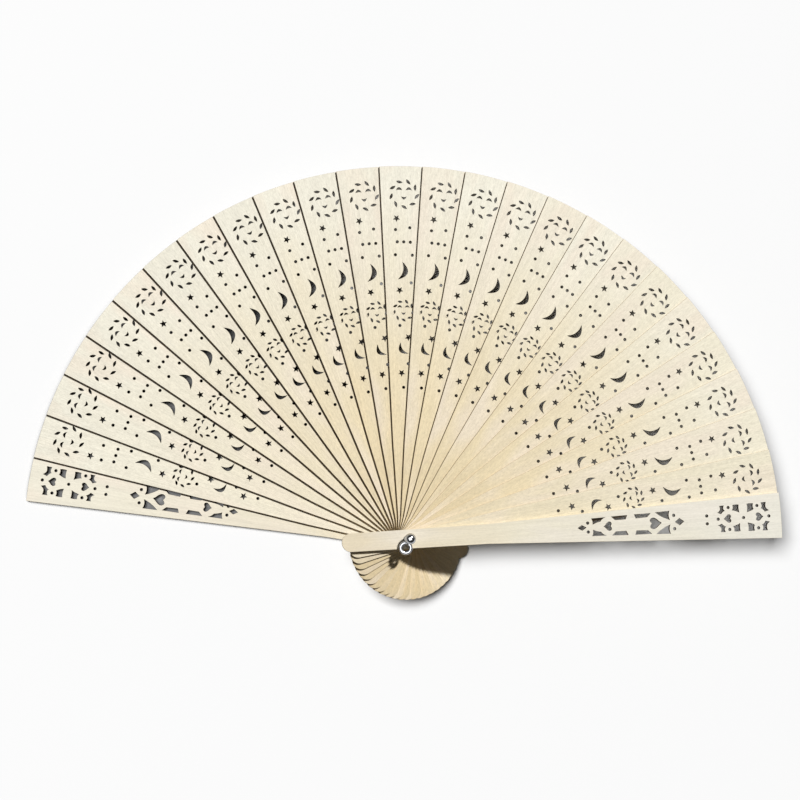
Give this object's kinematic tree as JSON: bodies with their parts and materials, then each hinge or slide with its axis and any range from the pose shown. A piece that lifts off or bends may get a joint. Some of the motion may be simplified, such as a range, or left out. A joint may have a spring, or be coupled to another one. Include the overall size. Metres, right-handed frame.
{
  "type": "hand fan",
  "caption": "Pierced wooden folding fan: thin sun, moon and star cut-out sticks between two openwork guards, all turning on one rivet with a tassel ring.",
  "frame": {"origin": "where the rivet's axis meets the flat underside of the rivet's cap, on which the open fan rests", "axes": "+Z along the rivet's axis, towards the front of the fan; +Y along the middle of the open fan, from the rivet to the tips; +X across the open fan, from the rear guard's side to the front guard's side"},
  "size_m": [0.3396, 0.197, 0.0326],
  "materials": {
    "stick_wood": "matt, unvarnished, laser-cut",
    "guard_wood": "matt, unvarnished, laser-cut",
    "polished_metal": "polished",
    "ribbon_cloth": "thin woven ribbon"
  },
  "bodies": {
    "rear_blade": {"rear_guard": "guard_wood", "rivet": "polished_metal", "rivet_cap": "polished_metal"},
    "blade_01": {"stick_01": "stick_wood", "ribbon_01": "ribbon_cloth"},
    "blade_02": {"stick_02": "stick_wood", "ribbon_02": "ribbon_cloth"},
    "blade_03": {"stick_03": "stick_wood", "ribbon_03": "ribbon_cloth"},
    "blade_04": {"stick_04": "stick_wood", "ribbon_04": "ribbon_cloth"},
    "blade_05": {"stick_05": "stick_wood", "ribbon_05": "ribbon_cloth"},
    "blade_06": {"stick_06": "stick_wood", "ribbon_06": "ribbon_cloth"},
    "blade_07": {"stick_07": "stick_wood", "ribbon_07": "ribbon_cloth"},
    "blade_08": {"stick_08": "stick_wood", "ribbon_08": "ribbon_cloth"},
    "blade_09": {"stick_09": "stick_wood", "ribbon_09": "ribbon_cloth"},
    "blade_10": {"stick_10": "stick_wood", "ribbon_10": "ribbon_cloth"},
    "blade_11": {"stick_11": "stick_wood", "ribbon_11": "ribbon_cloth"},
    "blade_12": {"stick_12": "stick_wood", "ribbon_12": "ribbon_cloth"},
    "blade_13": {"stick_13": "stick_wood", "ribbon_13": "ribbon_cloth"},
    "blade_14": {"stick_14": "stick_wood", "ribbon_14": "ribbon_cloth"},
    "blade_15": {"stick_15": "stick_wood", "ribbon_15": "ribbon_cloth"},
    "blade_16": {"stick_16": "stick_wood", "ribbon_16": "ribbon_cloth"},
    "blade_17": {"stick_17": "stick_wood", "ribbon_17": "ribbon_cloth"},
    "blade_18": {"stick_18": "stick_wood", "ribbon_18": "ribbon_cloth"},
    "blade_19": {"stick_19": "stick_wood", "ribbon_19": "ribbon_cloth"},
    "blade_20": {"stick_20": "stick_wood", "ribbon_20": "ribbon_cloth"},
    "blade_21": {"stick_21": "stick_wood", "ribbon_21": "ribbon_cloth"},
    "blade_22": {"stick_22": "stick_wood", "ribbon_22": "ribbon_cloth"},
    "blade_23": {"stick_23": "stick_wood", "ribbon_23": "ribbon_cloth"},
    "blade_24": {"stick_24": "stick_wood", "ribbon_24": "ribbon_cloth"},
    "front_blade": {"front_guard": "guard_wood", "ribbon_25": "ribbon_cloth"},
    "ring": {"tassel_ring": "polished_metal"}
  },
  "joints": [
    {"name": "fold", "type": "hinge", "parent": "rear_blade", "child": "front_blade", "pos_m": [0, 0, 0.014], "axis": [0, 0, 1], "range_deg": [0, 167]},
    {"name": "fold_01", "type": "hinge", "parent": "rear_blade", "child": "blade_01", "pos_m": [0, 0, 0.014], "axis": [0, 0, 1], "range_deg": [0, 6.78]},
    {"name": "fold_02", "type": "hinge", "parent": "rear_blade", "child": "blade_02", "pos_m": [0, 0, 0.014], "axis": [0, 0, 1], "range_deg": [0, 13.46]},
    {"name": "fold_03", "type": "hinge", "parent": "rear_blade", "child": "blade_03", "pos_m": [0, 0, 0.014], "axis": [0, 0, 1], "range_deg": [0, 20.14]},
    {"name": "fold_04", "type": "hinge", "parent": "rear_blade", "child": "blade_04", "pos_m": [0, 0, 0.014], "axis": [0, 0, 1], "range_deg": [0, 26.82]},
    {"name": "fold_05", "type": "hinge", "parent": "rear_blade", "child": "blade_05", "pos_m": [0, 0, 0.014], "axis": [0, 0, 1], "range_deg": [0, 33.5]},
    {"name": "fold_06", "type": "hinge", "parent": "rear_blade", "child": "blade_06", "pos_m": [0, 0, 0.014], "axis": [0, 0, 1], "range_deg": [0, 40.18]},
    {"name": "fold_07", "type": "hinge", "parent": "rear_blade", "child": "blade_07", "pos_m": [0, 0, 0.014], "axis": [0, 0, 1], "range_deg": [0, 46.86]},
    {"name": "fold_08", "type": "hinge", "parent": "rear_blade", "child": "blade_08", "pos_m": [0, 0, 0.014], "axis": [0, 0, 1], "range_deg": [0, 53.54]},
    {"name": "fold_09", "type": "hinge", "parent": "rear_blade", "child": "blade_09", "pos_m": [0, 0, 0.014], "axis": [0, 0, 1], "range_deg": [0, 60.22]},
    {"name": "fold_10", "type": "hinge", "parent": "rear_blade", "child": "blade_10", "pos_m": [0, 0, 0.014], "axis": [0, 0, 1], "range_deg": [0, 66.9]},
    {"name": "fold_11", "type": "hinge", "parent": "rear_blade", "child": "blade_11", "pos_m": [0, 0, 0.014], "axis": [0, 0, 1], "range_deg": [0, 73.58]},
    {"name": "fold_12", "type": "hinge", "parent": "rear_blade", "child": "blade_12", "pos_m": [0, 0, 0.014], "axis": [0, 0, 1], "range_deg": [0, 80.26]},
    {"name": "fold_13", "type": "hinge", "parent": "rear_blade", "child": "blade_13", "pos_m": [0, 0, 0.014], "axis": [0, 0, 1], "range_deg": [0, 86.94]},
    {"name": "fold_14", "type": "hinge", "parent": "rear_blade", "child": "blade_14", "pos_m": [0, 0, 0.014], "axis": [0, 0, 1], "range_deg": [0, 93.62]},
    {"name": "fold_15", "type": "hinge", "parent": "rear_blade", "child": "blade_15", "pos_m": [0, 0, 0.014], "axis": [0, 0, 1], "range_deg": [0, 100.3]},
    {"name": "fold_16", "type": "hinge", "parent": "rear_blade", "child": "blade_16", "pos_m": [0, 0, 0.014], "axis": [0, 0, 1], "range_deg": [0, 106.98]},
    {"name": "fold_17", "type": "hinge", "parent": "rear_blade", "child": "blade_17", "pos_m": [0, 0, 0.014], "axis": [0, 0, 1], "range_deg": [0, 113.66]},
    {"name": "fold_18", "type": "hinge", "parent": "rear_blade", "child": "blade_18", "pos_m": [0, 0, 0.014], "axis": [0, 0, 1], "range_deg": [0, 120.34]},
    {"name": "fold_19", "type": "hinge", "parent": "rear_blade", "child": "blade_19", "pos_m": [0, 0, 0.014], "axis": [0, 0, 1], "range_deg": [0, 127.02]},
    {"name": "fold_20", "type": "hinge", "parent": "rear_blade", "child": "blade_20", "pos_m": [0, 0, 0.014], "axis": [0, 0, 1], "range_deg": [0, 133.7]},
    {"name": "fold_21", "type": "hinge", "parent": "rear_blade", "child": "blade_21", "pos_m": [0, 0, 0.014], "axis": [0, 0, 1], "range_deg": [0, 140.38]},
    {"name": "fold_22", "type": "hinge", "parent": "rear_blade", "child": "blade_22", "pos_m": [0, 0, 0.014], "axis": [0, 0, 1], "range_deg": [0, 147.06]},
    {"name": "fold_23", "type": "hinge", "parent": "rear_blade", "child": "blade_23", "pos_m": [0, 0, 0.014], "axis": [0, 0, 1], "range_deg": [0, 153.74]},
    {"name": "fold_24", "type": "hinge", "parent": "rear_blade", "child": "blade_24", "pos_m": [0, 0, 0.014], "axis": [0, 0, 1], "range_deg": [0, 160.42]},
    {"name": "ring_swivel", "type": "hinge", "parent": "rear_blade", "child": "ring", "pos_m": [0, 0, 0.0275], "axis": [0, 0, 1], "continuous": true}
  ],
  "couplings": [
    {"joint": "fold_01", "follows": "fold", "ratio": 0.04},
    {"joint": "fold_02", "follows": "fold", "ratio": 0.08},
    {"joint": "fold_03", "follows": "fold", "ratio": 0.12},
    {"joint": "fold_04", "follows": "fold", "ratio": 0.16},
    {"joint": "fold_05", "follows": "fold", "ratio": 0.2},
    {"joint": "fold_06", "follows": "fold", "ratio": 0.24},
    {"joint": "fold_07", "follows": "fold", "ratio": 0.28},
    {"joint": "fold_08", "follows": "fold", "ratio": 0.32},
    {"joint": "fold_09", "follows": "fold", "ratio": 0.36},
    {"joint": "fold_10", "follows": "fold", "ratio": 0.4},
    {"joint": "fold_11", "follows": "fold", "ratio": 0.44},
    {"joint": "fold_12", "follows": "fold", "ratio": 0.48},
    {"joint": "fold_13", "follows": "fold", "ratio": 0.52},
    {"joint": "fold_14", "follows": "fold", "ratio": 0.56},
    {"joint": "fold_15", "follows": "fold", "ratio": 0.6},
    {"joint": "fold_16", "follows": "fold", "ratio": 0.64},
    {"joint": "fold_17", "follows": "fold", "ratio": 0.68},
    {"joint": "fold_18", "follows": "fold", "ratio": 0.72},
    {"joint": "fold_19", "follows": "fold", "ratio": 0.76},
    {"joint": "fold_20", "follows": "fold", "ratio": 0.8},
    {"joint": "fold_21", "follows": "fold", "ratio": 0.84},
    {"joint": "fold_22", "follows": "fold", "ratio": 0.88},
    {"joint": "fold_23", "follows": "fold", "ratio": 0.92},
    {"joint": "fold_24", "follows": "fold", "ratio": 0.96}
  ]
}
